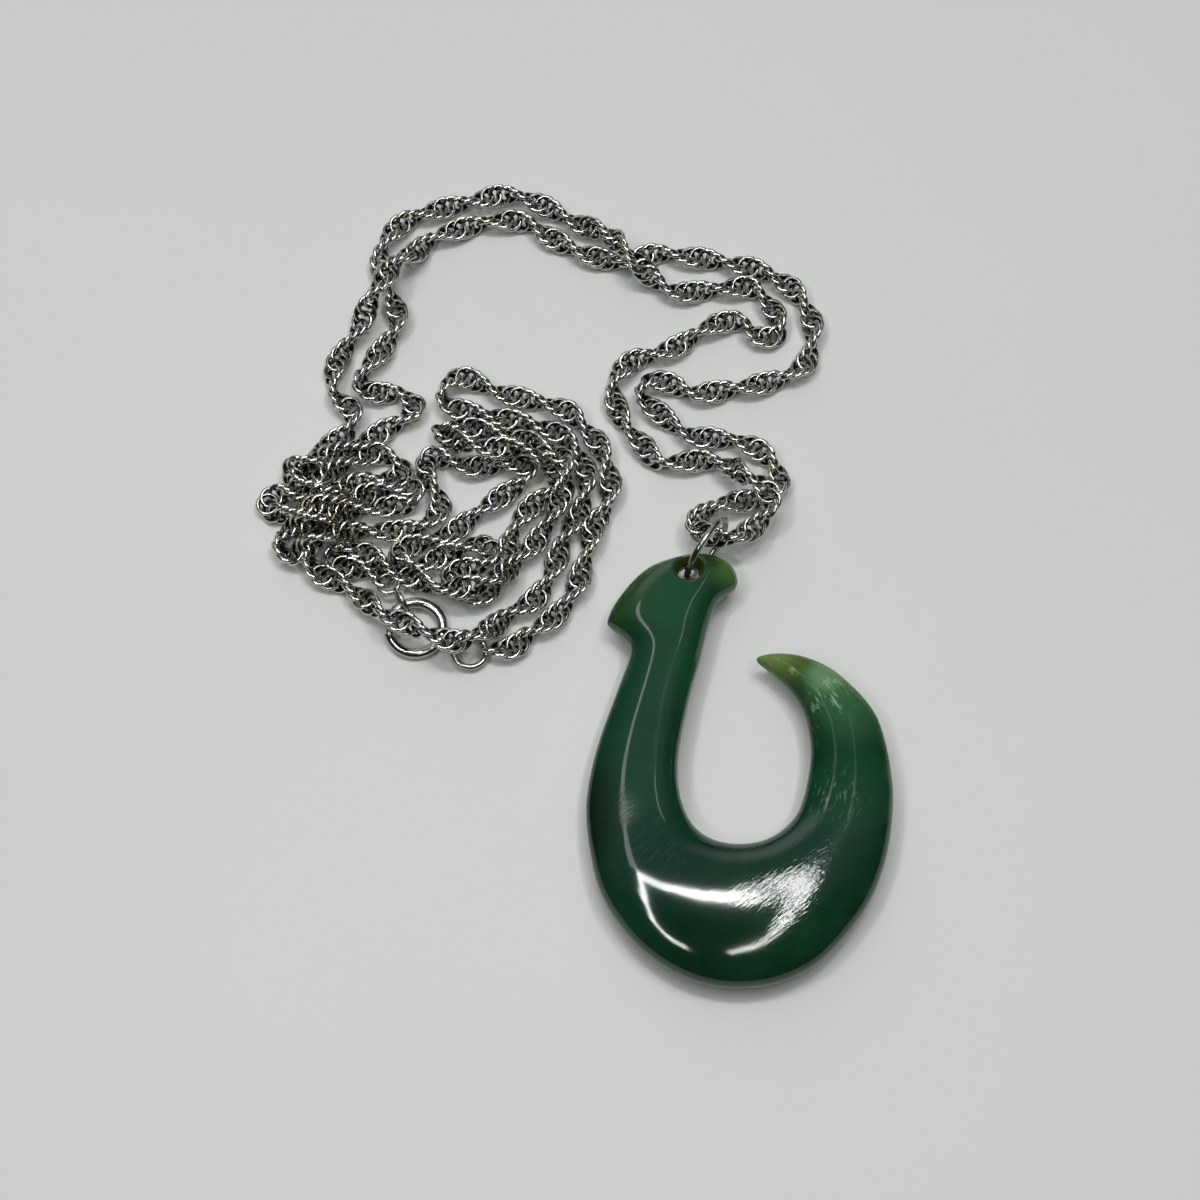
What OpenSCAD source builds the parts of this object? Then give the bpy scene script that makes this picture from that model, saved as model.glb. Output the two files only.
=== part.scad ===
// Fish-hook pendant of polished green jade on a long metal rope chain.
// Millimetres, +Z up, laid flat on a table: the hook rests on the back of its bend,
// the chain runs from the hook's ring to a heap beside it and is fastened at the clasp.

/* [Hook] */
// tallest half thickness of the bend
hook_half = 3.0; // [2.2:0.1:3.6]
// height of the hook's middle plane above the table
hook_mid = 2.85; // [2.2:0.05:3.4]
// roundness of the bevels' outer part, 1 is a flat bevel
hook_round = 1.8; // [1.0:0.1:2.6]
// how far the shank's bevels are rounded over at the ridges, 0 leaves a crisp ridge
ridge_soft = 0.4; // [0:0.05:1]
// diameter of the drilled hole
hole_d = 1.7; // [1.5:0.1:2.4]
// width of the hole's countersunk mouth
hole_chamfer = 0.55; // [0.2:0.05:0.7]
// depth of the countersunk mouth
hole_sink = 1.3; // [0.5:0.1:1.6]

/* [Bail ring] */
// centreline radius of the ring through the hole
bail_r = 3.2; // [2.4:0.1:4.2]
// diameter of its wire
bail_wire = 0.6; // [0.4:0.1:1.0]

/* [Chain] */
// diameter over the chain's twisted links
chain_d = 2.2; // [1.4:0.1:3.2]
// sides of the chain's plain tube
chain_sides = 8; // [6:1:12]
// diameter of the strands in the heap
heap_d = 2.4; // [1.4:0.1:3.2]

/* [Clasp] */
// outer diameter of the round clasp
clasp_d = 6.0; // [4:0.5:9]
// diameter of its hollow tube
clasp_tube = 1.0; // [0.8:0.1:1.6]
// diameter of the sliding bolt
bolt_d = 0.56; // [0.3:0.02:0.8]
// clearance round the bolt
bolt_gap = 0.05; // [0.03:0.01:0.1]
// tilt of the clasp where it leans on the end ring
clasp_tilt = 6; // [0:1:15]

/* [Hidden] */
// the hook's stations from the top of the head to the point: outer edge x and y, inner edge x
// and y, the two ridges as parts of the width, half thickness as a part of hook_half, half
// height of the edge, and 1 for a corner on the outer edge or 2 for one on the inner edge
OX = 0;
OY = 1;
IX = 2;
IY = 3;
RIDGE_O = 4;
RIDGE_I = 5;
HALF = 6;
EDGE = 7;
CORNER = 8;
STATIONS = [
    [11.9, -0.85, 13.3, -0.85, 0.35, 0.65, 0.32, 0.50, 0],
    [10.6, -1.10, 14.15, -1.10, 0.32, 0.66, 0.41, 0.50, 0],
    [9.25, -1.35, 14.85, -1.50, 0.29, 0.68, 0.49, 0.50, 0],
    [7.70, -1.95, 15.40, -2.10, 0.26, 0.71, 0.55, 0.50, 0],
    [6.25, -3.14, 15.80, -3.00, 0.235, 0.73, 0.62, 0.50, 0],
    [4.95, -4.80, 15.80, -4.00, 0.205, 0.73, 0.65, 0.50, 2],
    [4.02, -6.29, 14.65, -4.85, 0.25, 0.78, 0.68, 0.50, 0],
    [3.50, -7.78, 13.98, -5.35, 0.275, 0.80, 0.70, 0.50, 1],
    [4.55, -8.55, 13.50, -6.35, 0.215, 0.78, 0.71, 0.50, 0],
    [5.75, -9.88, 12.93, -8.15, 0.22, 0.735, 0.72, 0.50, 1],
    [5.68, -10.99, 12.60, -9.52, 0.30, 0.735, 0.73, 0.52, 0],
    [4.90, -13.25, 12.06, -11.72, 0.34, 0.735, 0.73, 0.54, 0],
    [3.78, -16.40, 11.28, -14.36, 0.37, 0.745, 0.73, 0.55, 0],
    [2.92, -18.95, 10.68, -17.06, 0.375, 0.765, 0.73, 0.55, 0],
    [2.20, -21.74, 10.14, -19.80, 0.385, 0.79, 0.74, 0.55, 0],
    [1.76, -24.57, 9.95, -22.51, 0.39, 0.795, 0.75, 0.55, 0],
    [1.75, -26.90, 10.22, -24.72, 0.375, 0.775, 0.77, 0.56, 0],
    [2.10, -29.65, 10.82, -26.40, 0.35, 0.75, 0.80, 0.57, 0],
    [2.80, -32.75, 11.50, -27.38, 0.33, 0.74, 0.85, 0.58, 0],
    [4.25, -35.55, 12.22, -28.03, 0.37, 0.74, 0.90, 0.60, 0],
    [6.55, -38.30, 13.05, -28.47, 0.45, 0.75, 0.95, 0.60, 0],
    [9.70, -40.45, 13.93, -28.72, 0.515, 0.77, 0.98, 0.60, 0],
    [12.80, -41.45, 14.80, -28.85, 0.55, 0.78, 1.00, 0.60, 0],
    [15.46, -41.60, 15.60, -28.83, 0.56, 0.785, 1.00, 0.60, 0],
    [18.50, -41.10, 16.57, -28.72, 0.555, 0.785, 1.00, 0.60, 0],
    [21.65, -39.55, 17.45, -28.45, 0.535, 0.77, 0.98, 0.60, 0],
    [24.30, -37.00, 18.35, -28.00, 0.49, 0.77, 0.95, 0.60, 0],
    [26.50, -34.00, 19.20, -27.35, 0.45, 0.755, 0.91, 0.58, 0],
    [27.95, -30.60, 20.15, -26.30, 0.42, 0.72, 0.87, 0.56, 0],
    [28.70, -27.35, 20.80, -25.03, 0.40, 0.725, 0.83, 0.55, 0],
    [29.05, -24.11, 21.45, -22.74, 0.40, 0.725, 0.80, 0.54, 0],
    [28.85, -20.80, 21.85, -20.00, 0.40, 0.735, 0.76, 0.52, 0],
    [28.20, -17.45, 21.60, -17.38, 0.40, 0.75, 0.71, 0.50, 0],
    [27.20, -15.50, 20.98, -15.42, 0.39, 0.76, 0.66, 0.48, 0],
    [25.75, -13.75, 19.98, -13.92, 0.38, 0.76, 0.60, 0.45, 0],
    [24.10, -12.20, 19.20, -13.12, 0.37, 0.74, 0.54, 0.42, 0],
    [22.05, -11.15, 18.42, -12.40, 0.36, 0.72, 0.47, 0.38, 0],
    [20.35, -10.75, 17.90, -12.00, 0.36, 0.70, 0.40, 0.35, 0],
    [18.75, -10.70, 17.55, -11.75, 0.37, 0.67, 0.32, 0.30, 0],
    [17.80, -10.85, 17.25, -11.45, 0.38, 0.64, 0.23, 0.25, 0],
    [17.10, -11.00, 17.00, -11.22, 0.40, 0.60, 0.12, 0.16, 0]];
SUB = 3;
HOLE = [11.2, -2.7];

// the ring through the hook's hole stands on edge
BAIL = [12.9, -0.4];
BAIL_TURN = 55;

// the chain's free run, from the heap's left end round the loops, through the ring, and back
LIE = chain_d / 2;
RUN = [
    [-21, 15.5, LIE], [-22.7, 17.3, LIE], [-23, 20, LIE], [-22, 22.5, LIE], [-20.5, 25, 1.8], [-19.5, 27, 3.1],
    [-18, 29.5, 3.6], [-17, 31.5, 2.7], [-15.5, 33.5, 1.4], [-13.5, 35.5, LIE], [-11, 36.5, LIE],
    [-7, 37.5, LIE], [-4, 37, LIE], [-2, 35.5, LIE], [0.5, 34, LIE], [3, 33, LIE],
    [5.5, 32.5, LIE], [8.5, 33.5, LIE], [13, 33, LIE], [17.5, 32, LIE], [20, 31, LIE],
    [22.5, 29, LIE], [24, 25.5, LIE], [23.5, 21.5, LIE], [21.5, 19.5, LIE], [18.5, 18.5, LIE],
    [12.5, 17.5, LIE], [10, 18.5, LIE], [8, 19, LIE], [7, 17.5, LIE], [8, 16, LIE],
    [11.5, 13, LIE], [14, 12.5, LIE], [17, 12, LIE], [19.5, 10, LIE], [20, 7.5, LIE],
    [18, 6, LIE], [15.5, 5.5, 1.3], [13.5, 4.5, 1.9], [12.1, 3, 2.5], [12.4, 1.7, 3], [13.8, 0.9, 3.3],
    [15.4, 0.8, 3.4], [17.3, 2, 2.9], [19, 4, 3], [18.5, 6, 3.6], [16.5, 7.5, 3.3], [15.5, 9, 2.1],
    [13.5, 10, 1.3], [11, 10, LIE], [8.5, 10, LIE], [7, 12, LIE], [5.5, 14, LIE], [4.5, 16.5, LIE],
    [4.5, 19, LIE], [6, 21, LIE], [8, 21.7, LIE], [11, 23, LIE], [13, 24.5, LIE], [15, 25.5, LIE], [17, 25.5, LIE],
    [18.5, 24, LIE], [20.5, 24, LIE], [20.5, 26, LIE], [19.5, 28, LIE], [18, 29.5, LIE], [16, 29.5, LIE],
    [11, 29, LIE], [8.5, 30, 1.6], [6.5, 31.5, 3], [5, 33, 3.5], [3.5, 35.5, 2.1], [1, 37, LIE],
    [-3.5, 39.5, 1.4], [-6.5, 40.3, 1.5], [-11, 39.5, LIE], [-15.5, 38, LIE],
    [-18, 36, LIE], [-19, 33, LIE], [-18.5, 30.5, LIE], [-17.5, 28, LIE], [-17, 25.5, LIE], [-18, 23, LIE],
    [-19.5, 20.8, LIE]];

// the heap, one strand after another: the strand along its edge from the jump ring, over the
// clasp and round the left side to the run's beginning, then the strand inside from the run's
// end to the clasp's end ring
LOW = heap_d / 2;
EDGE_STRAND = [
    [-5, -9.3, LOW], [-3.6, -8, LOW], [-1.5, -6.5, LOW], [-0.1, -4.9, LOW], [0.9, -2.9, LOW], [1.5, -0.9, LOW],
    [2, 1, LOW], [2.4, 3, LOW], [3.5, 4.8, LOW], [4, 7, LOW], [3.8, 9.5, LOW], [3, 11.6, LOW], [1.7, 13.5, LOW],
    [-0, 15.4, LOW], [-2, 16.3, LOW], [-4.1, 16.8, LOW], [-6.5, 17.5, LOW], [-8.5, 18.5, LOW],
    [-10.6, 19.3, LOW], [-12, 18.3, LOW], [-12.1, 16.5, LOW], [-10.1, 15.5, LOW], [-8, 15.1, LOW],
    [-5.5, 14.5, LOW], [-3.1, 13.9, LOW], [-1.1, 13.1, LOW], [0.5, 11.6, LOW], [1.5, 9.5, LOW], [1.8, 7.4, LOW],
    [1.3, 5, LOW], [0.3, 3, LOW], [-0.6, 1, LOW], [-1.2, -0.9, LOW], [-2, -2.9, LOW], [-3.2, -4.6, LOW],
    [-5.1, -5.8, LOW], [-6.5, -7.2, 1.7], [-8, -8.7, 2.75], [-10, -9.8, 3.75], [-12, -9.2, 3.8],
    [-14, -8.2, 3.3], [-16.4, -7, 3.1], [-18.2, -5.3, 1.9], [-20, -3.6, LOW], [-21.7, -2.6, LOW],
    [-23.3, -1.8, LOW], [-24.3, -0.3, LOW], [-24.1, 1.6, LOW], [-23.6, 3.4, LOW], [-23.5, 5.4, LOW],
    [-24.1, 7.4, LOW], [-24.8, 9.3, LOW], [-24.2, 11, LOW], [-22.7, 12.1, LOW], [-21.2, 13.4, LOW]];
CORE_STRAND = [
    [-20.3, 18.4, LOW], [-18.5, 17.5, LOW], [-16.6, 17.5, LOW], [-15, 16.1, LOW], [-16.1, 14.5, LOW],
    [-17.7, 13.5, LOW], [-19.3, 12.3, LOW], [-21, 11.2, 1.5], [-22.7, 9.9, 2.5], [-24.5, 8.9, 3.4],
    [-26.1, 8.6, 2.6], [-26.7, 8, 1.5], [-25.1, 7, 2.6], [-23.4, 7.2, 3.3], [-21.7, 8.9, 2.2],
    [-20.2, 10.2, 1.3], [-18.3, 10.9, LOW], [-16, 9.6, LOW], [-16.4, 8.3, LOW], [-18.1, 8.1, LOW],
    [-19.9, 7.7, 1.3], [-21.6, 6.6, 2.2], [-23.3, 5.5, 3.4], [-25.3, 5.8, 2.6], [-27.3, 6.4, 1.4],
    [-28.6, 5.7, LOW], [-27.8, 4.5, LOW], [-26.1, 4.3, 2], [-24.3, 4.1, 3.3], [-22.6, 4.4, 3.2],
    [-20.9, 5.6, 1.9], [-18.5, 6.7, LOW], [-15.8, 7.4, LOW], [-14.6, 6.7, LOW], [-15, 5.4, LOW],
    [-16.8, 5.2, LOW], [-18.7, 5, LOW], [-20.7, 4.5, 1.5], [-22.3, 3.4, 2.8], [-24, 2.7, 3.4],
    [-25.7, 2.5, 2.3], [-27, 2, LOW], [-27.1, 0.7, LOW], [-26, -0, LOW], [-24.7, 0.3, 2.2], [-23.3, 0.7, 3.3],
    [-21.9, 1.5, 2.8], [-20.3, 2.4, 1.6], [-18.2, 2.6, LOW], [-15.7, 2.6, LOW], [-14.2, 3, LOW],
    [-12.8, 3.9, LOW], [-12.1, 5.4, LOW], [-12.8, 7.2, LOW], [-13.7, 8.9, LOW], [-13.1, 10.5, LOW],
    [-11.5, 10.1, LOW], [-9.6, 9.5, LOW], [-7.7, 9.5, LOW], [-5.9, 9.8, LOW], [-4.1, 9.4, LOW],
    [-4.3, 7.9, LOW], [-6, 6.5, LOW], [-8, 5, LOW], [-9.7, 3.5, LOW], [-11.2, 2.3, LOW], [-13, 1.6, LOW],
    [-14.9, 1, LOW], [-16, -0, LOW], [-14.9, -1, LOW], [-13.2, -0.7, LOW], [-11.5, -0, 1.5], [-9.8, 0.6, 1.8],
    [-8, 1.1, 1.3], [-7.1, 0.1, LOW], [-8.1, -1, LOW], [-9.8, -1.3, LOW], [-11, -2.3, LOW], [-10.4, -3.7, LOW],
    [-8.8, -4.4, LOW], [-7.4, -3.5, LOW], [-6.4, -1.9, LOW], [-5.8, -0.1, LOW], [-5.4, 1.8, LOW],
    [-4.6, 3.7, LOW], [-3.4, 5.3, LOW], [-1.6, 6.8, 1.3], [-1.3, 8.3, 2.3], [-2.5, 9.8, 3.2], [-4.5, 10.3, 3.4],
    [-7.1, 10.3, 3.4], [-9.1, 10.9, 3.1], [-11.1, 11.8, 2.2], [-12.2, 13.3, 1.3], [-10.5, 13.9, LOW],
    [-7.9, 13.2, 1.3], [-5.3, 12.6, 1.3], [-3, 11.6, 1.6], [-1.3, 10.3, 2.7], [-0.2, 8.5, 3.3],
    [-0.3, 6.3, 3.2], [-1.1, 4.5, 2.4], [-2.1, 3, 1.4], [-3.1, 1.3, LOW], [-4.4, -0.3, 1.4], [-5.8, -2.2, 2.4],
    [-7.4, -3.7, 3.4], [-9.3, -4.2, 3.4], [-11.2, -4, 2.8], [-12.9, -3.2, 1.7], [-14.8, -2.2, 1.3],
    [-16.5, -1.4, LOW], [-17.9, -0.5, LOW], [-19.5, 0.5, LOW], [-21.1, 0.7, LOW], [-22.1, -0.1, LOW],
    [-21.1, -1.1, LOW], [-19.4, -1.4, LOW], [-17, -2.2, 1.4]];

// the round clasp, its middle, and the arc that its hollow tube covers
CLASP = [-14.1, -7.2];
CLASP_R = (clasp_d - clasp_tube) / 2;
LEAN = 120;
CLASP_Z = clasp_tube / 2 + CLASP_R * sin(clasp_tilt);
TUBE_FROM = 195;
TUBE_TO = 510;
BORE_R = bolt_d / 2 + bolt_gap;
EYE_TURN = -24;
EYE_R = 0.95;
EYE_WIRE = 0.22;
EYE_OUT = 4;
JUMP = [-9.03, -9.58];
JUMP_TURN = 152;
JUMP_R = 1.5;
JUMP_WIRE = 0.3;
JUMP_TILT = 4;
JUMP_LIFT = 0.34;
END_R = 1.3;
END_WIRE = 0.21;
END_OUT = 2.7;

// what is drawn

function smooth(a, b, c, d, t) =
    0.5 * (2 * b + (c - a) * t + (2 * a - 5 * b + 4 * c - d) * t * t + (3 * b - a - 3 * c + d) * t * t * t);

// one edge's point between two stations, with a sharp corner kept where the table asks for one
function corner(i, side) = STATIONS[i][CORNER] == side;
function edge_at(i, t, cx, side) =
    let(n = len(STATIONS) - 1,
        b = [STATIONS[i][cx], STATIONS[i][cx + 1]],
        c = [STATIONS[i + 1][cx], STATIONS[i + 1][cx + 1]],
        a = i == 0 || corner(i, side) ? b : [STATIONS[i - 1][cx], STATIONS[i - 1][cx + 1]],
        d = i + 1 == n || corner(i + 1, side) ? c : [STATIONS[i + 2][cx], STATIONS[i + 2][cx + 1]])
    smooth(a, b, c, d, t);
function mix_at(i, t, col) =
    smooth(STATIONS[max(i - 1, 0)][col], STATIONS[i][col], STATIONS[i + 1][col],
           STATIONS[min(i + 2, len(STATIONS) - 1)][col], t);

// half thickness across the width, u from 0 at the outer edge to 1 at the inner edge
function soft_at(h) = ridge_soft + (0.9 - ridge_soft) * max(0, min(1, (h / hook_half - 0.76) / 0.18));
function bevel(t, soft) = (1 - soft) * t + soft * pow(1 - pow(1 - t, hook_round), 1 / hook_round);
function half_at(u, ro, ri, h, e) =
    u < ro ? e + (h - e) * bevel(u / ro, soft_at(h))
    : u > ri ? e + (h - e) * bevel((1 - u) / (1 - ri), soft_at(h))
    : h * (1 + 0.03 * sin(180 * (u - ro) / (ri - ro)));
function across(ro, ri) =
    [0, 0.08 * ro, 0.22 * ro, 0.40 * ro, 0.60 * ro, 0.80 * ro, ro, ro + (ri - ro) / 2, ri,
     ri + (1 - ri) * 0.25, ri + (1 - ri) * 0.5, ri + (1 - ri) * 0.72, ri + (1 - ri) * 0.9, 1];

function hook_row(i, t) =
    let(o = edge_at(i, t, OX, 1),
        n = edge_at(i, t, IX, 2),
        ro = mix_at(i, t, RIDGE_O),
        ri = mix_at(i, t, RIDGE_I),
        h = mix_at(i, t, HALF) * hook_half,
        e = mix_at(i, t, EDGE),
        us = across(ro, ri),
        top = [for (u = us) [o[0] + (n[0] - o[0]) * u, o[1] + (n[1] - o[1]) * u, half_at(u, ro, ri, h, e)]])
    concat([for (p = top) [p[0], p[1], hook_mid + p[2]]],
           [for (k = [len(top) - 1:-1:0]) [top[k][0], top[k][1], hook_mid - top[k][2]]]);

// skin over rings of equal count, with both ends closed
module skin(rings) {
    n = len(rings[0]);
    m = len(rings);
    points = [for (r = rings) for (p = r) p];
    faces = concat(
        [[for (k = [n - 1:-1:0]) k]],
        [for (i = [0:m - 2]) for (k = [0:n - 1])
            [i * n + k, i * n + (k + 1) % n, (i + 1) * n + (k + 1) % n, (i + 1) * n + k]],
        [[for (k = [0:n - 1]) (m - 1) * n + k]]);
    polyhedron(points = points, faces = faces, convexity = 6);
}

module hook_body() {
    n = len(STATIONS) - 1;
    rows = concat([for (i = [0:n - 1]) for (s = [0:SUB - 1]) hook_row(i, s / SUB)], [hook_row(n - 1, 1)]);
    skin(rows);
}

module hook() {
    color("#2f7550")
    difference() {
        hook_body();
        translate([15, -20, -5])
            cube([60, 60, 10], center = true);
        translate([HOLE[0], HOLE[1], -1])
            cylinder(d = hole_d, h = 10, $fn = 48);
        translate([HOLE[0], HOLE[1], hook_mid + 0.6 * hook_half - hole_sink])
            cylinder(d1 = hole_d, d2 = hole_d + 4 * hole_chamfer, h = 2 * hole_sink, $fn = 48);
        translate([HOLE[0], HOLE[1], hook_mid - 0.6 * hook_half - hole_sink])
            cylinder(d1 = hole_d + 4 * hole_chamfer, d2 = hole_d, h = 2 * hole_sink, $fn = 48);
    }
}

module ring(r, wire) {
    rotate_extrude($fn = 64)
        translate([r, 0])
            circle(r = wire, $fn = 20);
}

module bail_ring() {
    color("#c9ccd0")
    translate([BAIL[0], BAIL[1], bail_r + bail_wire / 2])
        rotate([90, 0, BAIL_TURN])
            ring(bail_r, bail_wire / 2);
}

// plain tube along a list of points, one ring of sides at each point
function unit(v) = v / norm(v);
function heading(path, i) =
    unit(path[min(i + 1, len(path) - 1)] - path[max(i - 1, 0)]);
function tube_ring(path, i, r) =
    let(f = heading(path, i),
        s = unit(cross([0, 0, 1], f)),
        u = cross(f, s))
    [for (k = [0:chain_sides - 1])
        let(a = 360 * k / chain_sides)
        path[i] + r * cos(a) * s + r * sin(a) * u];

module chain_run() {
    color("#b9bcc0")
    skin([for (i = [len(RUN) - 1:-1:0]) tube_ring(RUN, i, chain_d / 2)]);
}

module bead(p) {
    translate(p)
        sphere(d = heap_d / cos(22.5), $fn = 8);
}

module strand(path) {
    for (i = [0:len(path) - 2])
        hull() {
            bead(path[i]);
            bead(path[i + 1]);
        }
}

module chain_heap() {
    color("#b9bcc0")
    union() {
        strand(EDGE_STRAND);
        strand(CORE_STRAND);
    }
}

// everything on the clasp leans with it
module lean() {
    translate([CLASP[0], CLASP[1], CLASP_Z])
        rotate([0, 0, LEAN])
            rotate([0, -clasp_tilt, 0])
                rotate([0, 0, -LEAN])
                    children();
}

module arc(from, to, r) {
    rotate([0, 0, from])
        rotate_extrude(angle = to - from, $fn = 96)
            translate([CLASP_R, 0])
                circle(r = r, $fn = 24);
}

module clasp_ring() {
    color("#d4d6d9")
    difference() {
        union() {
            lean()
                arc(TUBE_FROM, TUBE_TO, clasp_tube / 2);
            translate([CLASP[0] + EYE_OUT * cos(EYE_TURN), CLASP[1] + EYE_OUT * sin(EYE_TURN), EYE_R + EYE_WIRE])
                rotate([90, 0, EYE_TURN])
                    ring(EYE_R, EYE_WIRE);
        }
        lean() {
            arc(TUBE_FROM - 1, 306, BORE_R);
            arc(146.5, 151, BORE_R);
            rotate([0, 0, 199])
                rotate_extrude(angle = 55, $fn = 96)
                    translate([CLASP_R - 0.2, 0])
                        square([0.4, 1]);
        }
    }
}

module clasp_bolt() {
    color("#c4c6c9")
    lean() {
        arc(148, 255, bolt_d / 2);
        rotate([0, 0, 203])
            translate([CLASP_R, 0, 0])
                cylinder(r = 0.14, h = 0.75, $fn = 20);
    }
}

module jump_ring() {
    color("#c9ccd0")
    translate([JUMP[0], JUMP[1], JUMP_LIFT + JUMP_WIRE + JUMP_R * sin(JUMP_TILT)])
        rotate([0, 0, JUMP_TURN])
            rotate([0, -JUMP_TILT, 0])
                ring(JUMP_R, JUMP_WIRE);
}

module end_ring() {
    color("#c9ccd0")
    translate([CLASP[0] + END_OUT * cos(LEAN), CLASP[1] + END_OUT * sin(LEAN), END_R + END_WIRE])
        rotate([90, 0, LEAN])
            ring(END_R, END_WIRE);
}

hook();
bail_ring();
chain_run();
chain_heap();
clasp_ring();
clasp_bolt();
jump_ring();
end_ring();
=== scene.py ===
import math

import bmesh
import bpy
from mathutils import Matrix, Vector


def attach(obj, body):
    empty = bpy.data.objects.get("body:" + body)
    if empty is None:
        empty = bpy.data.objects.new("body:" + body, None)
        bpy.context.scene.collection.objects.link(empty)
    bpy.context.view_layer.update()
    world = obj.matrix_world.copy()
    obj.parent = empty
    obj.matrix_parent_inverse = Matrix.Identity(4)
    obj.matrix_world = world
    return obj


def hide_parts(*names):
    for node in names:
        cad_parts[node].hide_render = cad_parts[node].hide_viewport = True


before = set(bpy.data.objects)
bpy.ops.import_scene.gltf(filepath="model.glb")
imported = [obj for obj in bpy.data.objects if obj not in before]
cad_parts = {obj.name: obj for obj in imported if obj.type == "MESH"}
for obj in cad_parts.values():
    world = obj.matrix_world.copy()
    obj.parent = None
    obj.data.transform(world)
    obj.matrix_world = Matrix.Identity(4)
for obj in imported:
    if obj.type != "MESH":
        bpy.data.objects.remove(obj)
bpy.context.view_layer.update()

# The table: smooth pale card that the necklace lies on. It is matt, with a faint mottle from
# its pulp, and it runs well past the picture on every side.
MM = 0.001
CARD_REACH = 1500 * MM
CARD_DROP = 0.02 * MM
# the places of a colour Mix node's two colours, and of the colour that it gives
MIX_A = 6
MIX_B = 7
MIXED = 2


def linear(colour):
    """An sRGB hex colour as the linear values that a shader takes."""
    parts = [int(colour[i:i + 2], 16) / 255 for i in (1, 3, 5)]
    return [c / 12.92 if c <= 0.04045 else ((c + 0.055) / 1.055) ** 2.4 for c in parts] + [1.0]


def per_metre(patches, length):
    """The scale of a pattern with so many patches in a length in millimetres."""
    return patches / (length * MM)


def add(tree, kind, settings=None, inputs=None):
    """One node with its settings. Each input takes a value or another node's output."""
    node = tree.nodes.new(kind)
    for name, value in (settings or {}).items():
        setattr(node, name, value)
    for socket, value in (inputs or {}).items():
        if isinstance(value, bpy.types.NodeSocket):
            tree.links.new(value, node.inputs[socket])
        else:
            node.inputs[socket].default_value = value
    return node


def new_finish(name):
    """An empty material, its tree of nodes, and the place on the piece that its patterns follow."""
    material = bpy.data.materials.new(name)
    material.use_nodes = True
    tree = material.node_tree
    tree.nodes.clear()
    return material, tree, add(tree, "ShaderNodeTexCoord").outputs["Object"]


def piece_from(shape, name, finish):
    """A smooth-shaded object at the origin from a bmesh, which is used up."""
    mesh = bpy.data.meshes.new(name)
    shape.to_mesh(mesh)
    shape.free()
    mesh.polygons.foreach_set("use_smooth", [True] * len(mesh.polygons))
    mesh.materials.append(finish)
    piece = bpy.data.objects.new(name, mesh)
    bpy.context.scene.collection.objects.link(piece)
    return piece


card, tree, where = new_finish("matt_white_card")
pulp = add(tree, "ShaderNodeTexNoise",
           inputs={"Vector": where, "Scale": per_metre(12, 1000), "Detail": 3.0})
card_colour = add(tree, "ShaderNodeMix", {"data_type": "RGBA"},
                  {0: pulp.outputs["Fac"], MIX_A: linear("#d5d8d5"), MIX_B: linear("#dcdedb")})
card_skin = add(tree, "ShaderNodeBsdfPrincipled",
                inputs={"Base Color": card_colour.outputs[MIXED], "Roughness": 0.6, "IOR": 1.45})
add(tree, "ShaderNodeOutputMaterial", inputs={"Surface": card_skin.outputs[0]})

table = bmesh.new()
bmesh.ops.create_grid(table, x_segments=4, y_segments=4, size=CARD_REACH)
bmesh.ops.translate(table, verts=table.verts, vec=(0, 0, -CARD_DROP))
floor = piece_from(table, "floor", card)

# The view and the light: the picture is taken from above and in front, under a ring of soft
# lamps that stands open on the near side. A window behind and the ceiling add a dim grey, and
# the near side stays dark.
VIEW_AIM = Vector((3, -4, 0)) * MM
VIEW_ANGLE = math.radians(66)
VIEW_DISTANCE = 200 * MM
LENS = 64.0
RING_HEIGHT = 600
CEILING = 0.17
WINDOW = 0.93
WINDOW_BEARING = (-0.2, 0.88, 0.43)
NEAR_SIDE = 0.03

camera_data = bpy.data.cameras.new("camera")
camera_data.lens = LENS
camera_data.sensor_width = 36
camera_data.clip_start = 10 * MM
camera = bpy.data.objects.new("camera", camera_data)
bpy.context.scene.collection.objects.link(camera)
back = Vector((0, -math.cos(VIEW_ANGLE), math.sin(VIEW_ANGLE)))
camera.location = VIEW_AIM + back * VIEW_DISTANCE
camera.rotation_euler = (-back).to_track_quat("-Z", "Y").to_euler()
bpy.context.scene.camera = camera
bpy.context.scene.view_settings.view_transform = "Standard"


def lamp(name, start, end, width, glow):
    """A strip lamp between two points at the ring's height, shining on the necklace."""
    a = Vector((*start, RING_HEIGHT)) * MM
    b = Vector((*end, RING_HEIGHT)) * MM
    data = bpy.data.lights.new(name, "AREA")
    data.shape = "RECTANGLE"
    data.size = (b - a).length
    data.size_y = width * MM
    data.energy = glow * math.pi * data.size * data.size_y
    along = (b - a).normalized()
    side = ((a + b) / 2).cross(along).normalized()
    facing = along.cross(side)
    strip = bpy.data.objects.new(name, data)
    strip.matrix_world = Matrix((along, side, facing)).transposed().to_4x4()
    strip.location = (a + b) / 2
    bpy.context.scene.collection.objects.link(strip)


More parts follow.
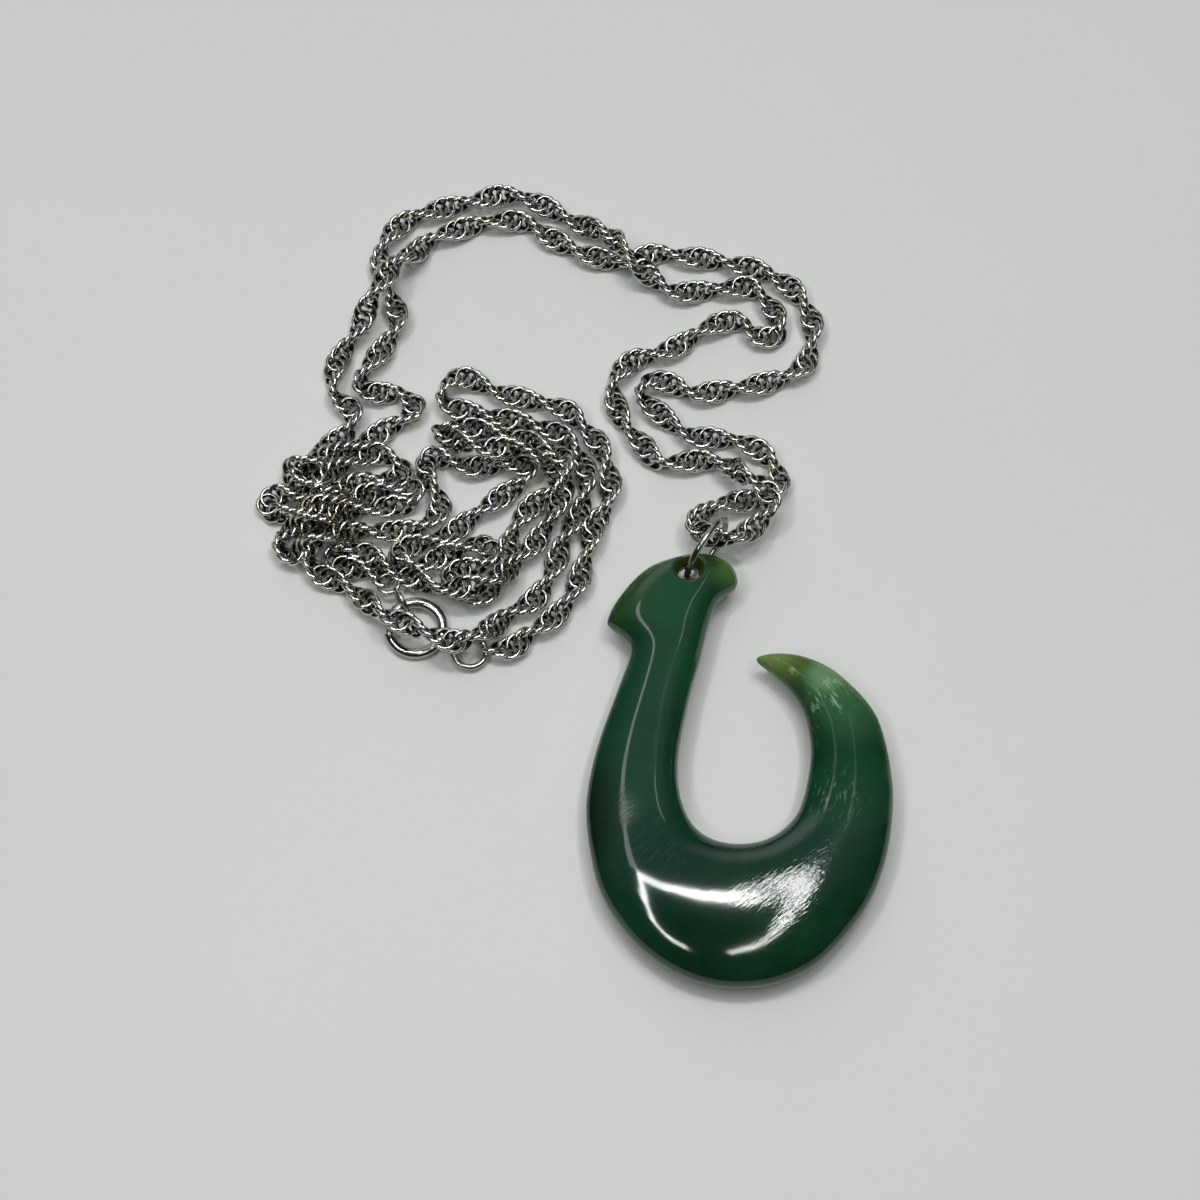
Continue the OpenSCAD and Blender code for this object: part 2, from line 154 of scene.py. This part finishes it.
# each strip's two ends and its width in millimetres, and its brightness: the ring, and then two
# dim strips behind it
for number, (start, end, width, glow) in enumerate([
        ((25, -271), (86, -225), 30, 13),
        ((83, -229), (150, -138), 30, 14),
        ((146, -145), (171, -66), 30, 20),
        ((169, -76), (180, 6), 34, 20),
        ((180, -4), (170, 110), 40, 19),
        ((156, 156), (112, 102), 56, 14),
        ((118, 108), (60, 48), 56, 15),
        ((66, 50), (-14, 68), 40, 25),
        ((-8, 66), (-64, 108), 36, 24),
        ((-60, 106), (-170, 92), 44, 18),
        ((-165, 94), (-270, -54), 36, 20),
        ((-268, -46), (-286, -190), 40, 17),
        ((-286, -184), (-236, -292), 40, 14),
        ((-240, -290), (-160, -310), 40, 13),
        ((-205, 112), (-235, 440), 100, 2.2),
        ((190, 210), (290, 400), 30, 1.9)]):
    lamp("lamp_%d" % number, start, end, width, glow)

room = bpy.data.worlds.new("room")
room.use_nodes = True
tree = room.node_tree
towards = add(tree, "ShaderNodeTexCoord").outputs["Generated"]
parts = add(tree, "ShaderNodeSeparateXYZ", inputs={0: towards})
overhead = add(tree, "ShaderNodeMapRange", {"interpolation_type": "SMOOTHSTEP"},
               {"Value": parts.outputs["Z"], "From Min": 0.25, "From Max": 0.8, "To Max": CEILING})
behind = add(tree, "ShaderNodeMapRange", {"interpolation_type": "SMOOTHSTEP"},
             {"Value": parts.outputs["Y"], "From Min": -0.15, "From Max": 0.3})
off_window = add(tree, "ShaderNodeVectorMath", {"operation": "DISTANCE"},
                 {0: towards, 1: WINDOW_BEARING})
window = add(tree, "ShaderNodeMapRange", {"interpolation_type": "SMOOTHSTEP"},
             {"Value": off_window.outputs["Value"], "From Min": 0.55, "From Max": 0.15,
              "To Min": NEAR_SIDE, "To Max": WINDOW})
level = add(tree, "ShaderNodeMath", {"operation": "MULTIPLY_ADD"},
            {0: overhead.outputs[0], 1: behind.outputs[0], 2: window.outputs[0]})
tree.nodes["Background"].inputs["Color"].default_value = linear("#dfe3e6")
tree.links.new(level.outputs[0], tree.nodes["Background"].inputs["Strength"])
bpy.context.scene.world = room

# The hook: one piece of green river jade, sawn, ground to long bevels and polished by hand, with
# a drilled hole in its head. The stone runs from olive at the point and the head to a deep bluish
# green in the bend, and thin places let light through.
HOLE = Vector((11.2, -2.7)) * MM
HOLE_EDGE = 1.6 * MM
HOLE_CLEAR = 1.9 * MM
FOOT = 1.8 * MM
GRIT = 0.2 * MM

jade, tree, where = new_finish("polished_green_jade")


def spot(tree, where, centre, inner, outer, strength=1.0):
    """A soft spot in the stone: its strength within the inner distance, 0 past the outer one."""
    away = add(tree, "ShaderNodeVectorMath", {"operation": "DISTANCE"},
               {0: where, 1: Vector(centre) * MM})
    return add(tree, "ShaderNodeMapRange", {"interpolation_type": "SMOOTHSTEP"},
               {"Value": away.outputs["Value"], "From Min": outer * MM, "From Max": inner * MM,
                "To Max": strength}).outputs[0]


# clouds of darker and lighter stone about 5 mm across
cloud = add(tree, "ShaderNodeTexNoise",
            inputs={"Vector": where, "Scale": per_metre(19, 100), "Detail": 5.0, "Roughness": 0.6,
                    "Distortion": 0.8})
stone = add(tree, "ShaderNodeValToRGB", inputs={0: cloud.outputs["Fac"]})
stone.color_ramp.elements[0].position = 0.30
stone.color_ramp.elements[0].color = linear("#0a2c18")
stone.color_ramp.elements[1].position = 0.70
stone.color_ramp.elements[1].color = linear("#164028")
colour = stone.outputs[0]
# the body's shades, each a soft patch with its strength, its centre and its reach in millimetres;
# three low on the right edge are painted light on the rim
for shade, strength, centre, inner, outer in (
        ("#1d4a33", 0.7, (7.5, -14, 5), 1, 9),
        ("#1e5636", 0.6, (9.5, -6, 4.5), 1.5, 5),
        ("#17502c", 0.6, (11.8, -12.5, 4), 0.8, 4.5),
        ("#1a4632", 0.7, (6.5, -24, 5.5), 1, 8),
        ("#0c3028", 0.7, (9, -32, 6), 1, 8),
        ("#113a2c", 0.7, (21.5, -29, 6), 1, 7),
        ("#0a2818", 0.7, (12, -38, 5), 1, 6),
        ("#042010", 0.9, (1.6, -28, 3), 1, 6),
        ("#06220f", 0.8, (2.6, -24.5, 3), 1, 4),
        ("#1a4a30", 0.6, (26, -24, 5), 1, 7),
        ("#2c4c22", 0.75, (5, -5, 3), 1, 5),
        ("#52743a", 0.85, (15, -2, 3), 0.5, 4),
        ("#365a30", 0.6, (10, 0, 3), 0.5, 4),
        ("#4a7646", 0.8, (25, -14, 4), 1, 6),
        ("#335f42", 0.6, (25.4, -17.5, 4), 1, 4),
        # painted light: these three are the lit rim of the side wall along the right edge
        ("#56693f", 0.85, (29.6, -19, 2), 0.5, 3.2),
        ("#5f7546", 0.95, (29.2, -22.5, 2), 0.8, 2.8),
        ("#4b6140", 0.7, (29.2, -26, 2), 0.5, 3),
        ("#4f7036", 0.9, (7.5, -1.6, 2.5), 0.5, 3),
        ("#5c7c34", 0.75, (25, -11.5, 3), 1, 4),
        ("#6c8446", 0.97, (18, -10.5, 3), 1.2, 5.5),
        ("#4a6024", 0.7, (21.3, -12.4, 3.3), 0.5, 2.2),
        ("#6f9368", 0.8, (23.2, -13.5, 4), 0.8, 2.3),
        ("#16331a", 0.75, (13.1, -1.9, 4.4), 0.4, 1.5),
        ("#454a1c", 0.85, (11.2, -2.7, 3.5), 1.2, 1.85)):
    colour = add(tree, "ShaderNodeMix", {"data_type": "RGBA"},
                 {0: spot(tree, where, centre, inner, outer, strength), MIX_A: colour,
                  MIX_B: linear(shade)}).outputs[MIXED]

# pale threads in the stone, 1.4 mm long and a quarter as wide, in the point's arm and about the
# bend, one set of them a painted highlight: each set's bearing and shade, and its strength, centre
# and reach in millimetres
for bearing, shade, strength, centre, inner, outer in (
        (-45, "#93ac76", 0.8, (19.6, -13.0, 4), 0.5, 2.4),
        (-62, "#86ab93", 0.85, (23.4, -16.6, 4.5), 0.6, 2.8),
        # painted highlight: a pale streak along the arm, drawn as threads
        (-56, "#93b59c", 0.7, (23.6, -15.0, 4.5), 0.8, 2.6),
        (70, "#7ba68c", 0.4, (23.6, -25, 5), 0.5, 3.5),
        (45, "#3a7460", 0.14, (8, -30, 6), 1.5, 6)):
    drawn = add(tree, "ShaderNodeMapping", {"vector_type": "TEXTURE"},
                {"Vector": where, "Rotation": (0, 0, math.radians(bearing)), "Scale": (1.0, 0.24, 1.0)})
    thread = add(tree, "ShaderNodeTexNoise",
                 inputs={"Vector": drawn.outputs[0], "Scale": per_metre(7, 10), "Detail": 3.0,
                         "Roughness": 0.6})
    threads = add(tree, "ShaderNodeMapRange", {"interpolation_type": "SMOOTHSTEP"},
                  {"Value": thread.outputs["Fac"], "From Min": 0.54, "From Max": 0.66})
    share = add(tree, "ShaderNodeMath", {"operation": "MULTIPLY"},
                {0: spot(tree, where, centre, inner, outer, strength), 1: threads.outputs[0]})
    colour = add(tree, "ShaderNodeMix", {"data_type": "RGBA"},
                 {0: share.outputs[0], MIX_A: colour, MIX_B: linear(shade)}).outputs[MIXED]

# marks of the polishing wheel, 0.9 mm long and coarser than real ones to show in a picture,
# deepest on the bend's right shoulder and at the foot of the left ridge
flare = spot(tree, where, (4.9, -26.2, 5.5), 0.5, 2.8)
shoulder = spot(tree, where, (20, -31.5, 6), 2, 9)
wheel = add(tree, "ShaderNodeMapping", {"vector_type": "TEXTURE"},
            {"Vector": where, "Rotation": (0, 0, math.radians(38)), "Scale": (1.0, 0.22, 1.0)})
marks = add(tree, "ShaderNodeTexNoise",
            inputs={"Vector": wheel.outputs[0], "Scale": per_metre(11, 10), "Detail": 2.0,
                    "Roughness": 0.5})
rough_polish = add(tree, "ShaderNodeMath", {"operation": "ADD"}, {0: flare, 1: shoulder})
depth = add(tree, "ShaderNodeMapRange",
            inputs={"Value": rough_polish.outputs[0], "To Min": 0.03, "To Max": 0.45})
ground = add(tree, "ShaderNodeBump",
             inputs={"Strength": depth.outputs[0], "Distance": 0.04 * MM, "Height": marks.outputs["Fac"]})
gloss = add(tree, "ShaderNodeMapRange", inputs={"Value": flare, "To Min": 0.09, "To Max": 0.2})
# the point's arm took less of the wax and shines less
unwaxed = spot(tree, where, (22.5, -16, 4), 6.5, 12)
shine = add(tree, "ShaderNodeMapRange", inputs={"Value": unwaxed, "To Min": 0.5, "To Max": 0.12})
jade_skin = add(tree, "ShaderNodeBsdfPrincipled",
                inputs={"Base Color": colour, "Roughness": gloss.outputs[0], "IOR": 1.61,
                        "Specular IOR Level": shine.outputs[0], "Normal": ground.outputs[0],
                        "Subsurface Weight": 0.25, "Subsurface Radius": (0.4, 1.0, 0.5),
                        "Subsurface Scale": 1.2 * MM})
add(tree, "ShaderNodeOutputMaterial", inputs={"Surface": jade_skin.outputs[0]})

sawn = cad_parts["hook"]
sawn_shape = bmesh.new()
sawn_shape.from_mesh(sawn.data)
bmesh.ops.transform(sawn_shape, matrix=sawn.matrix_world, verts=sawn_shape.verts)
bmesh.ops.remove_doubles(sawn_shape, verts=sawn_shape.verts, dist=0.002 * MM)
bmesh.ops.join_triangles(sawn_shape, faces=sawn_shape.faces, angle_face_threshold=math.radians(30),
                         angle_shape_threshold=math.radians(80))
# the drilled hole keeps its edges
crease = sawn_shape.edges.layers.float.new("crease_edge")
for edge in sawn_shape.edges:
    if all((corner.co.xy - HOLE).length < HOLE_EDGE for corner in edge.verts):
        edge[crease] = 1.0
blank = piece_from(sawn_shape, "sawn_hook", jade)
curves = blank.modifiers.new("curves", "SUBSURF")
curves.levels = 2
curves.render_levels = 2
regrind = blank.modifiers.new("regrind", "REMESH")
regrind.mode = "VOXEL"
regrind.voxel_size = GRIT
carved = bmesh.new()
carved.from_mesh(blank.evaluated_get(bpy.context.evaluated_depsgraph_get()).data)
bpy.data.objects.remove(blank)
# the polish rounds every other edge, most of all the lowest one, all round the back
rubbed = [corner for corner in carved.verts if (corner.co.xy - HOLE).length > HOLE_CLEAR]
lowest = [corner for corner in rubbed if corner.co.z < FOOT]
for part, passes in ((carved.verts, 1), (rubbed, 15), (lowest, 30)):
    for rub in range(passes):
        bmesh.ops.smooth_vert(carved, verts=part, factor=0.5,
                              use_axis_x=True, use_axis_y=True, use_axis_z=True)
hook = piece_from(carved, "jade_hook", jade)
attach(hook, "necklace")
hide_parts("hook")

# The chain: round links of hard drawn silver-white wire, each turned a little from the last and
# hooked through the next two, so that they lie as a rope. The links are plated and bright, with
# painted shade, nearly black, inside each link's ring.
LINK_R = 0.98
LINK_WIRE = 0.22
LINK_STEP = 0.82
LINK_TURN = 29
# how far the turn wanders from link to link, in degrees
LINK_WAVER = 2

plated, tree, where = new_finish("bright_plated_steel_wire")
film = add(tree, "ShaderNodeTexNoise",
           inputs={"Vector": where, "Scale": per_metre(7, 10), "Detail": 3.0, "Roughness": 0.6})
tint = add(tree, "ShaderNodeValToRGB", inputs={0: film.outputs["Fac"]})
tint.color_ramp.elements[0].position = 0.32
tint.color_ramp.elements[0].color = linear("#d0c8b4")
tint.color_ramp.elements[1].position = 0.68
tint.color_ramp.elements[1].color = linear("#c8c7d0")
tint.color_ramp.elements.new(0.5).color = linear("#d2d4cc")
dull = add(tree, "ShaderNodeMapRange",
           inputs={"Value": film.outputs["Fac"], "From Min": 0.3, "From Max": 0.7,
                   "To Min": 0.14, "To Max": 0.22})
# painted shade inside each link's ring, nearly black on its innermost side
inside = add(tree, "ShaderNodeAttribute", {"attribute_name": "hollow"})
inner_shade = add(tree, "ShaderNodeMapRange", {"interpolation_type": "SMOOTHSTEP"},
             {"Value": inside.outputs["Fac"], "From Min": 0.3, "From Max": 0.8, "To Max": 0.95})
plate = add(tree, "ShaderNodeMix", {"data_type": "RGBA"},
            {0: inner_shade.outputs[0], MIX_A: tint.outputs[0], MIX_B: linear("#1e1c19")})
plated_skin = add(tree, "ShaderNodeBsdfPrincipled",
                  inputs={"Base Color": plate.outputs[MIXED], "Metallic": 1.0,
                          "Roughness": dull.outputs[0]})
add(tree, "ShaderNodeOutputMaterial", inputs={"Surface": plated_skin.outputs[0]})

# the chain's way over the table in millimetres; LIE is the height of its middle where it lies flat
LIE = 1.2
FIRST_STRAND = [
    [-6.97, -9.5, LIE], [-5, -9.3, LIE], [-3.6, -8, LIE], [-1.5, -6.5, LIE], [-0.1, -4.9, LIE],
    [0.9, -2.9, LIE], [1.5, -0.9, LIE], [2, 1, LIE], [2.4, 3, LIE], [3.5, 4.8, LIE], [4, 7, LIE],
    [3.8, 9.5, LIE], [3, 11.6, LIE], [1.7, 13.5, LIE], [0, 15.4, LIE], [-2, 16.3, LIE],
    [-4.1, 16.8, LIE], [-6.5, 17.5, LIE], [-8.5, 18.5, LIE], [-10.6, 19.3, LIE], [-12, 18.3, LIE],
    [-12.1, 16.5, LIE], [-10.1, 15.5, LIE], [-8, 15.1, LIE], [-5.5, 14.5, LIE], [-3.1, 13.9, LIE],
    [-1.1, 13.1, LIE], [0.5, 11.6, LIE], [1.5, 9.5, LIE], [1.8, 7.4, LIE], [1.3, 5, LIE], [0.3, 3, LIE],
    [-0.6, 1, LIE], [-1.2, -0.9, LIE], [-2, -2.9, LIE], [-3.2, -4.6, LIE], [-5.1, -5.8, LIE],
    [-6.5, -7.2, 1.7], [-8, -8.7, 2.75], [-10, -9.8, 3.75], [-12, -9.2, 3.8], [-14, -8.2, 3.3],
    [-16.4, -7, 3.1], [-18.2, -5.3, 1.9], [-20, -3.6, LIE], [-21.7, -2.6, LIE], [-23.3, -1.8, LIE],
    [-24.3, -0.3, LIE], [-24.1, 1.6, LIE], [-23.6, 3.4, LIE], [-23.5, 5.4, LIE], [-24.1, 7.4, LIE],
    [-24.8, 9.3, LIE], [-24.2, 11, LIE], [-22.7, 12.1, LIE], [-21.2, 13.4, LIE]]
LOOPS = [
    [-21, 15.5, LIE], [-22.7, 17.3, LIE], [-23, 20, LIE], [-22, 22.5, LIE], [-20.5, 25, 1.9],
    [-19.5, 27, 3.2], [-18, 29.5, 3.7], [-17, 31.5, 2.8], [-15.5, 33.5, 1.5], [-13.5, 35.5, LIE],
    [-11, 36.5, LIE], [-7, 37.5, LIE], [-4, 37, LIE], [-2, 35.5, LIE], [0.5, 34, LIE], [3, 33, LIE],
    [5.5, 32.5, LIE], [8.5, 33.5, LIE], [13, 33, LIE], [17.5, 32, LIE], [20, 31, LIE], [22.5, 29, LIE],
    [24, 25.5, LIE], [23.5, 21.5, LIE], [21.5, 19.5, LIE], [18.5, 18.5, LIE], [12.5, 17.5, LIE],
    [10, 18.5, LIE], [8, 19, LIE], [7, 17.5, LIE], [8, 16, LIE], [11.5, 13, LIE], [14, 12.5, LIE],
    [17, 12, LIE], [19.5, 10, LIE], [20, 7.5, LIE], [18, 6, LIE], [15.5, 5.5, 1.4], [13.5, 4.5, 2.0],
    [12.1, 3, 2.6], [12.4, 1.7, 3.1], [13.8, 0.9, 3.4], [15.4, 0.8, 3.5], [17.3, 2, 3.0], [19, 4, 3.1],
    [18.5, 6, 3.7], [16.5, 7.5, 3.4], [15.5, 9, 2.2], [13.5, 10, 1.4], [11, 10, LIE], [8.5, 10, LIE],
    [7, 12, LIE], [5.5, 14, LIE], [4.5, 16.5, LIE], [4.5, 19, LIE], [6, 21, LIE], [8, 21.7, LIE],
    [11, 23, LIE], [13, 24.5, LIE], [15, 25.5, LIE], [17, 25.5, LIE], [18.5, 24, LIE], [20.5, 24, LIE],
    [20.5, 26, LIE], [19.5, 28, LIE], [18, 29.5, LIE], [16, 29.5, LIE], [11, 29, LIE], [8.5, 30, 1.7],
    [6.5, 31.5, 3.1], [5, 33, 3.6], [3.5, 35.5, 2.2], [1, 37, LIE], [-3.5, 39.5, 1.5],
    [-6.5, 40.3, 1.6], [-11, 39.5, LIE], [-15.5, 38, LIE], [-18, 36, LIE], [-19, 33, LIE],
    [-18.5, 30.5, LIE], [-17.5, 28, LIE], [-17, 25.5, LIE], [-18, 23, LIE], [-19.5, 20.8, LIE]]
LAST_STRAND = [
    [-20.3, 18.4, LIE], [-18.5, 17.5, LIE], [-16.6, 17.5, LIE], [-15, 16.1, LIE], [-16.1, 14.5, LIE],
    [-17.7, 13.5, LIE], [-19.3, 12.3, LIE], [-21, 11.2, 1.5], [-22.7, 9.9, 2.5], [-24.5, 8.9, 3.4],
    [-26.1, 8.6, 2.6], [-26.7, 8, 1.5], [-25.1, 7, 2.6], [-23.4, 7.2, 3.3], [-21.7, 8.9, 2.2],
    [-20.2, 10.2, 1.3], [-18.3, 10.9, LIE], [-16, 9.6, LIE], [-16.4, 8.3, LIE], [-18.1, 8.1, LIE],
    [-19.9, 7.7, 1.3], [-21.6, 6.6, 2.2], [-23.3, 5.5, 3.4], [-25.3, 5.8, 2.6], [-27.3, 6.4, 1.4],
    [-28.6, 5.7, LIE], [-27.8, 4.5, LIE], [-26.1, 4.3, 2], [-24.3, 4.1, 3.3], [-22.6, 4.4, 3.2],
    [-20.9, 5.6, 1.9], [-18.5, 6.7, LIE], [-15.8, 7.4, LIE], [-14.6, 6.7, LIE], [-15, 5.4, LIE],
    [-16.8, 5.2, LIE], [-18.7, 5, LIE], [-20.7, 4.5, 1.5], [-22.3, 3.4, 2.8], [-24, 2.7, 3.4],
    [-25.7, 2.5, 2.3], [-27, 2, LIE], [-27.1, 0.7, LIE], [-26, 0, LIE], [-24.7, 0.3, 2.2],
    [-23.3, 0.7, 3.3], [-21.9, 1.5, 2.8], [-20.3, 2.4, 1.6], [-18.2, 2.6, LIE], [-15.7, 2.6, LIE],
    [-14.2, 3, LIE], [-12.8, 3.9, LIE], [-12.1, 5.4, LIE], [-12.8, 7.2, LIE], [-13.7, 8.9, LIE],
    [-13.1, 10.5, LIE], [-11.5, 10.1, LIE], [-9.6, 9.5, LIE], [-7.7, 9.5, LIE], [-5.9, 9.8, LIE],
    [-4.1, 9.4, LIE], [-4.3, 7.9, LIE], [-6, 6.5, LIE], [-8, 5, LIE], [-9.7, 3.5, LIE],
    [-11.2, 2.3, LIE], [-13, 1.6, LIE], [-14.9, 1, LIE], [-16, 0, LIE], [-14.9, -1, LIE],
    [-13.2, -0.7, LIE], [-11.5, 0, 1.5], [-9.8, 0.6, 1.8], [-8, 1.1, 1.3], [-7.1, 0.1, LIE],
    [-8.1, -1, LIE], [-9.8, -1.3, LIE], [-11, -2.3, LIE], [-10.4, -3.7, LIE], [-8.8, -4.4, LIE],
    [-7.4, -3.5, LIE], [-6.4, -1.9, LIE], [-5.8, -0.1, LIE], [-5.4, 1.8, LIE], [-4.6, 3.7, LIE],
    [-3.4, 5.3, LIE], [-1.6, 6.8, 1.3], [-1.3, 8.3, 2.3], [-2.5, 9.8, 3.2], [-4.5, 10.3, 3.4],
    [-7.1, 10.3, 3.4], [-9.1, 10.9, 3.1], [-11.1, 11.8, 2.2], [-12.2, 13.3, 1.3], [-10.5, 13.9, LIE],
    [-7.9, 13.2, 1.3], [-5.3, 12.6, 1.3], [-3, 11.6, 1.6], [-1.3, 10.3, 2.7], [-0.2, 8.5, 3.3],
    [-0.3, 6.3, 3.2], [-1.1, 4.5, 2.4], [-2.1, 3, 1.4], [-3.1, 1.3, LIE], [-4.4, -0.3, 1.4],
    [-5.8, -2.2, 2.4], [-7.4, -3.7, 3.4], [-9.3, -4.2, 3.4], [-11.2, -4, 2.8], [-12.9, -3.2, 1.7],
    [-14.8, -2.2, 1.3], [-16.5, -1.4, LIE], [-17.9, -0.5, LIE], [-19.5, 0.5, LIE], [-21.1, 0.7, LIE],
    [-22.1, -0.1, LIE], [-21.1, -1.1, LIE], [-19.4, -1.4, LIE], [-17.6, -2.2, 1.4], [-16.4, -3.3, 1.5]]


def drape(points, finely=8):
    """The points joined by one smooth line, as closely spaced points on it."""
    line = []
    ends = [points[0]] + points + [points[-1]]
    for a, b, c, d in zip(ends, ends[1:], ends[2:], ends[3:]):
        a, b, c, d = Vector(a), Vector(b), Vector(c), Vector(d)
        for k in range(finely):
            t = k / finely
            line.append(0.5 * (2 * b + (c - a) * t + (2 * a - 5 * b + 4 * c - d) * t * t
                               + (3 * b - a - 3 * c + d) * t * t * t))
    return line + [Vector(points[-1])]


def stations(line, step):
    """Evenly spaced points on a line, with the direction of the line at each."""
    spots = []
    due = 0.0
    run = 0.0
    for a, b in zip(line, line[1:]):
        length = (b - a).length
        while length > 0 and due <= run + length:
            spots.append((a + (b - a) * ((due - run) / length), (b - a).normalized()))
            due += step
        run += length
    return spots


link = bmesh.new()
upright = Matrix.Rotation(math.pi / 2, 4, "X")
bmesh.ops.create_circle(link, segments=6, radius=LINK_WIRE * MM,
                        matrix=Matrix.Translation((LINK_R * MM, 0, 0)) @ upright)
bmesh.ops.spin(link, geom=link.verts[:] + link.edges[:], cent=(0, 0, 0), axis=(0, 0, 1),
               angle=math.tau, steps=14, use_merge=True)
bmesh.ops.recalc_face_normals(link, faces=link.faces[:])
link_mesh = bpy.data.meshes.new("one_link")
link.to_mesh(link_mesh)
link.free()
# how far inside the ring each point is, which sets the painted shade: 0 outermost, 1 innermost
hollow = link_mesh.attributes.new("hollow", "FLOAT", "POINT")
for corner, value in zip(link_mesh.vertices, hollow.data):
    value.value = 0.5 - (corner.co.xy.length / MM - LINK_R) / (2 * LINK_WIRE)

chain_shape = bmesh.new()
across = Vector((0, 0, 1))
turn = 0.0
for number, (centre, ahead) in enumerate(stations(drape(FIRST_STRAND + LOOPS + LAST_STRAND), LINK_STEP)):
    across = (across - ahead * across.dot(ahead)).normalized()
    turn += LINK_TURN + LINK_WAVER * (math.sin(0.23 * number) + math.sin(1.7 * number))
    outward = Matrix.Rotation(math.radians(turn), 3, ahead) @ across
    placing = Matrix((ahead, outward, ahead.cross(outward))).transposed().to_4x4()
    placing.translation = centre * MM
    placed = link_mesh.copy()
    placed.transform(placing)
    chain_shape.from_mesh(placed)
    bpy.data.meshes.remove(placed)
chain = piece_from(chain_shape, "chain_links", plated)
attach(chain, "necklace")
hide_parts("chain_run", "chain_heap")

# The fittings: a bail ring through the hook, a round spring clasp with its sliding bolt, and the
# rings that join the clasp to the chain's two ends. They are of bent wire and drawn tube, plated
# and polished, with a faint warm smear and duller patches from wear.
polished, tree, where = new_finish("polished_white_metal")
smear = add(tree, "ShaderNodeTexNoise",
            inputs={"Vector": where, "Scale": per_metre(9, 10), "Detail": 3.0})
sheen = add(tree, "ShaderNodeMix", {"data_type": "RGBA"},
            {0: smear.outputs["Fac"], MIX_A: linear("#a8a294"), MIX_B: linear("#bcbcbc")})
wiped = add(tree, "ShaderNodeMapRange",
            inputs={"Value": smear.outputs["Fac"], "From Min": 0.3, "From Max": 0.7,
                    "To Min": 0.14, "To Max": 0.24})
polished_skin = add(tree, "ShaderNodeBsdfPrincipled",
                    inputs={"Base Color": sheen.outputs[MIXED], "Metallic": 1.0,
                            "Roughness": wiped.outputs[0]})
add(tree, "ShaderNodeOutputMaterial", inputs={"Surface": polished_skin.outputs[0]})
for fitting in ("bail_ring", "clasp_ring", "clasp_bolt", "jump_ring", "end_ring"):
    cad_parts[fitting].data.materials.clear()
    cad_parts[fitting].data.materials.append(polished)
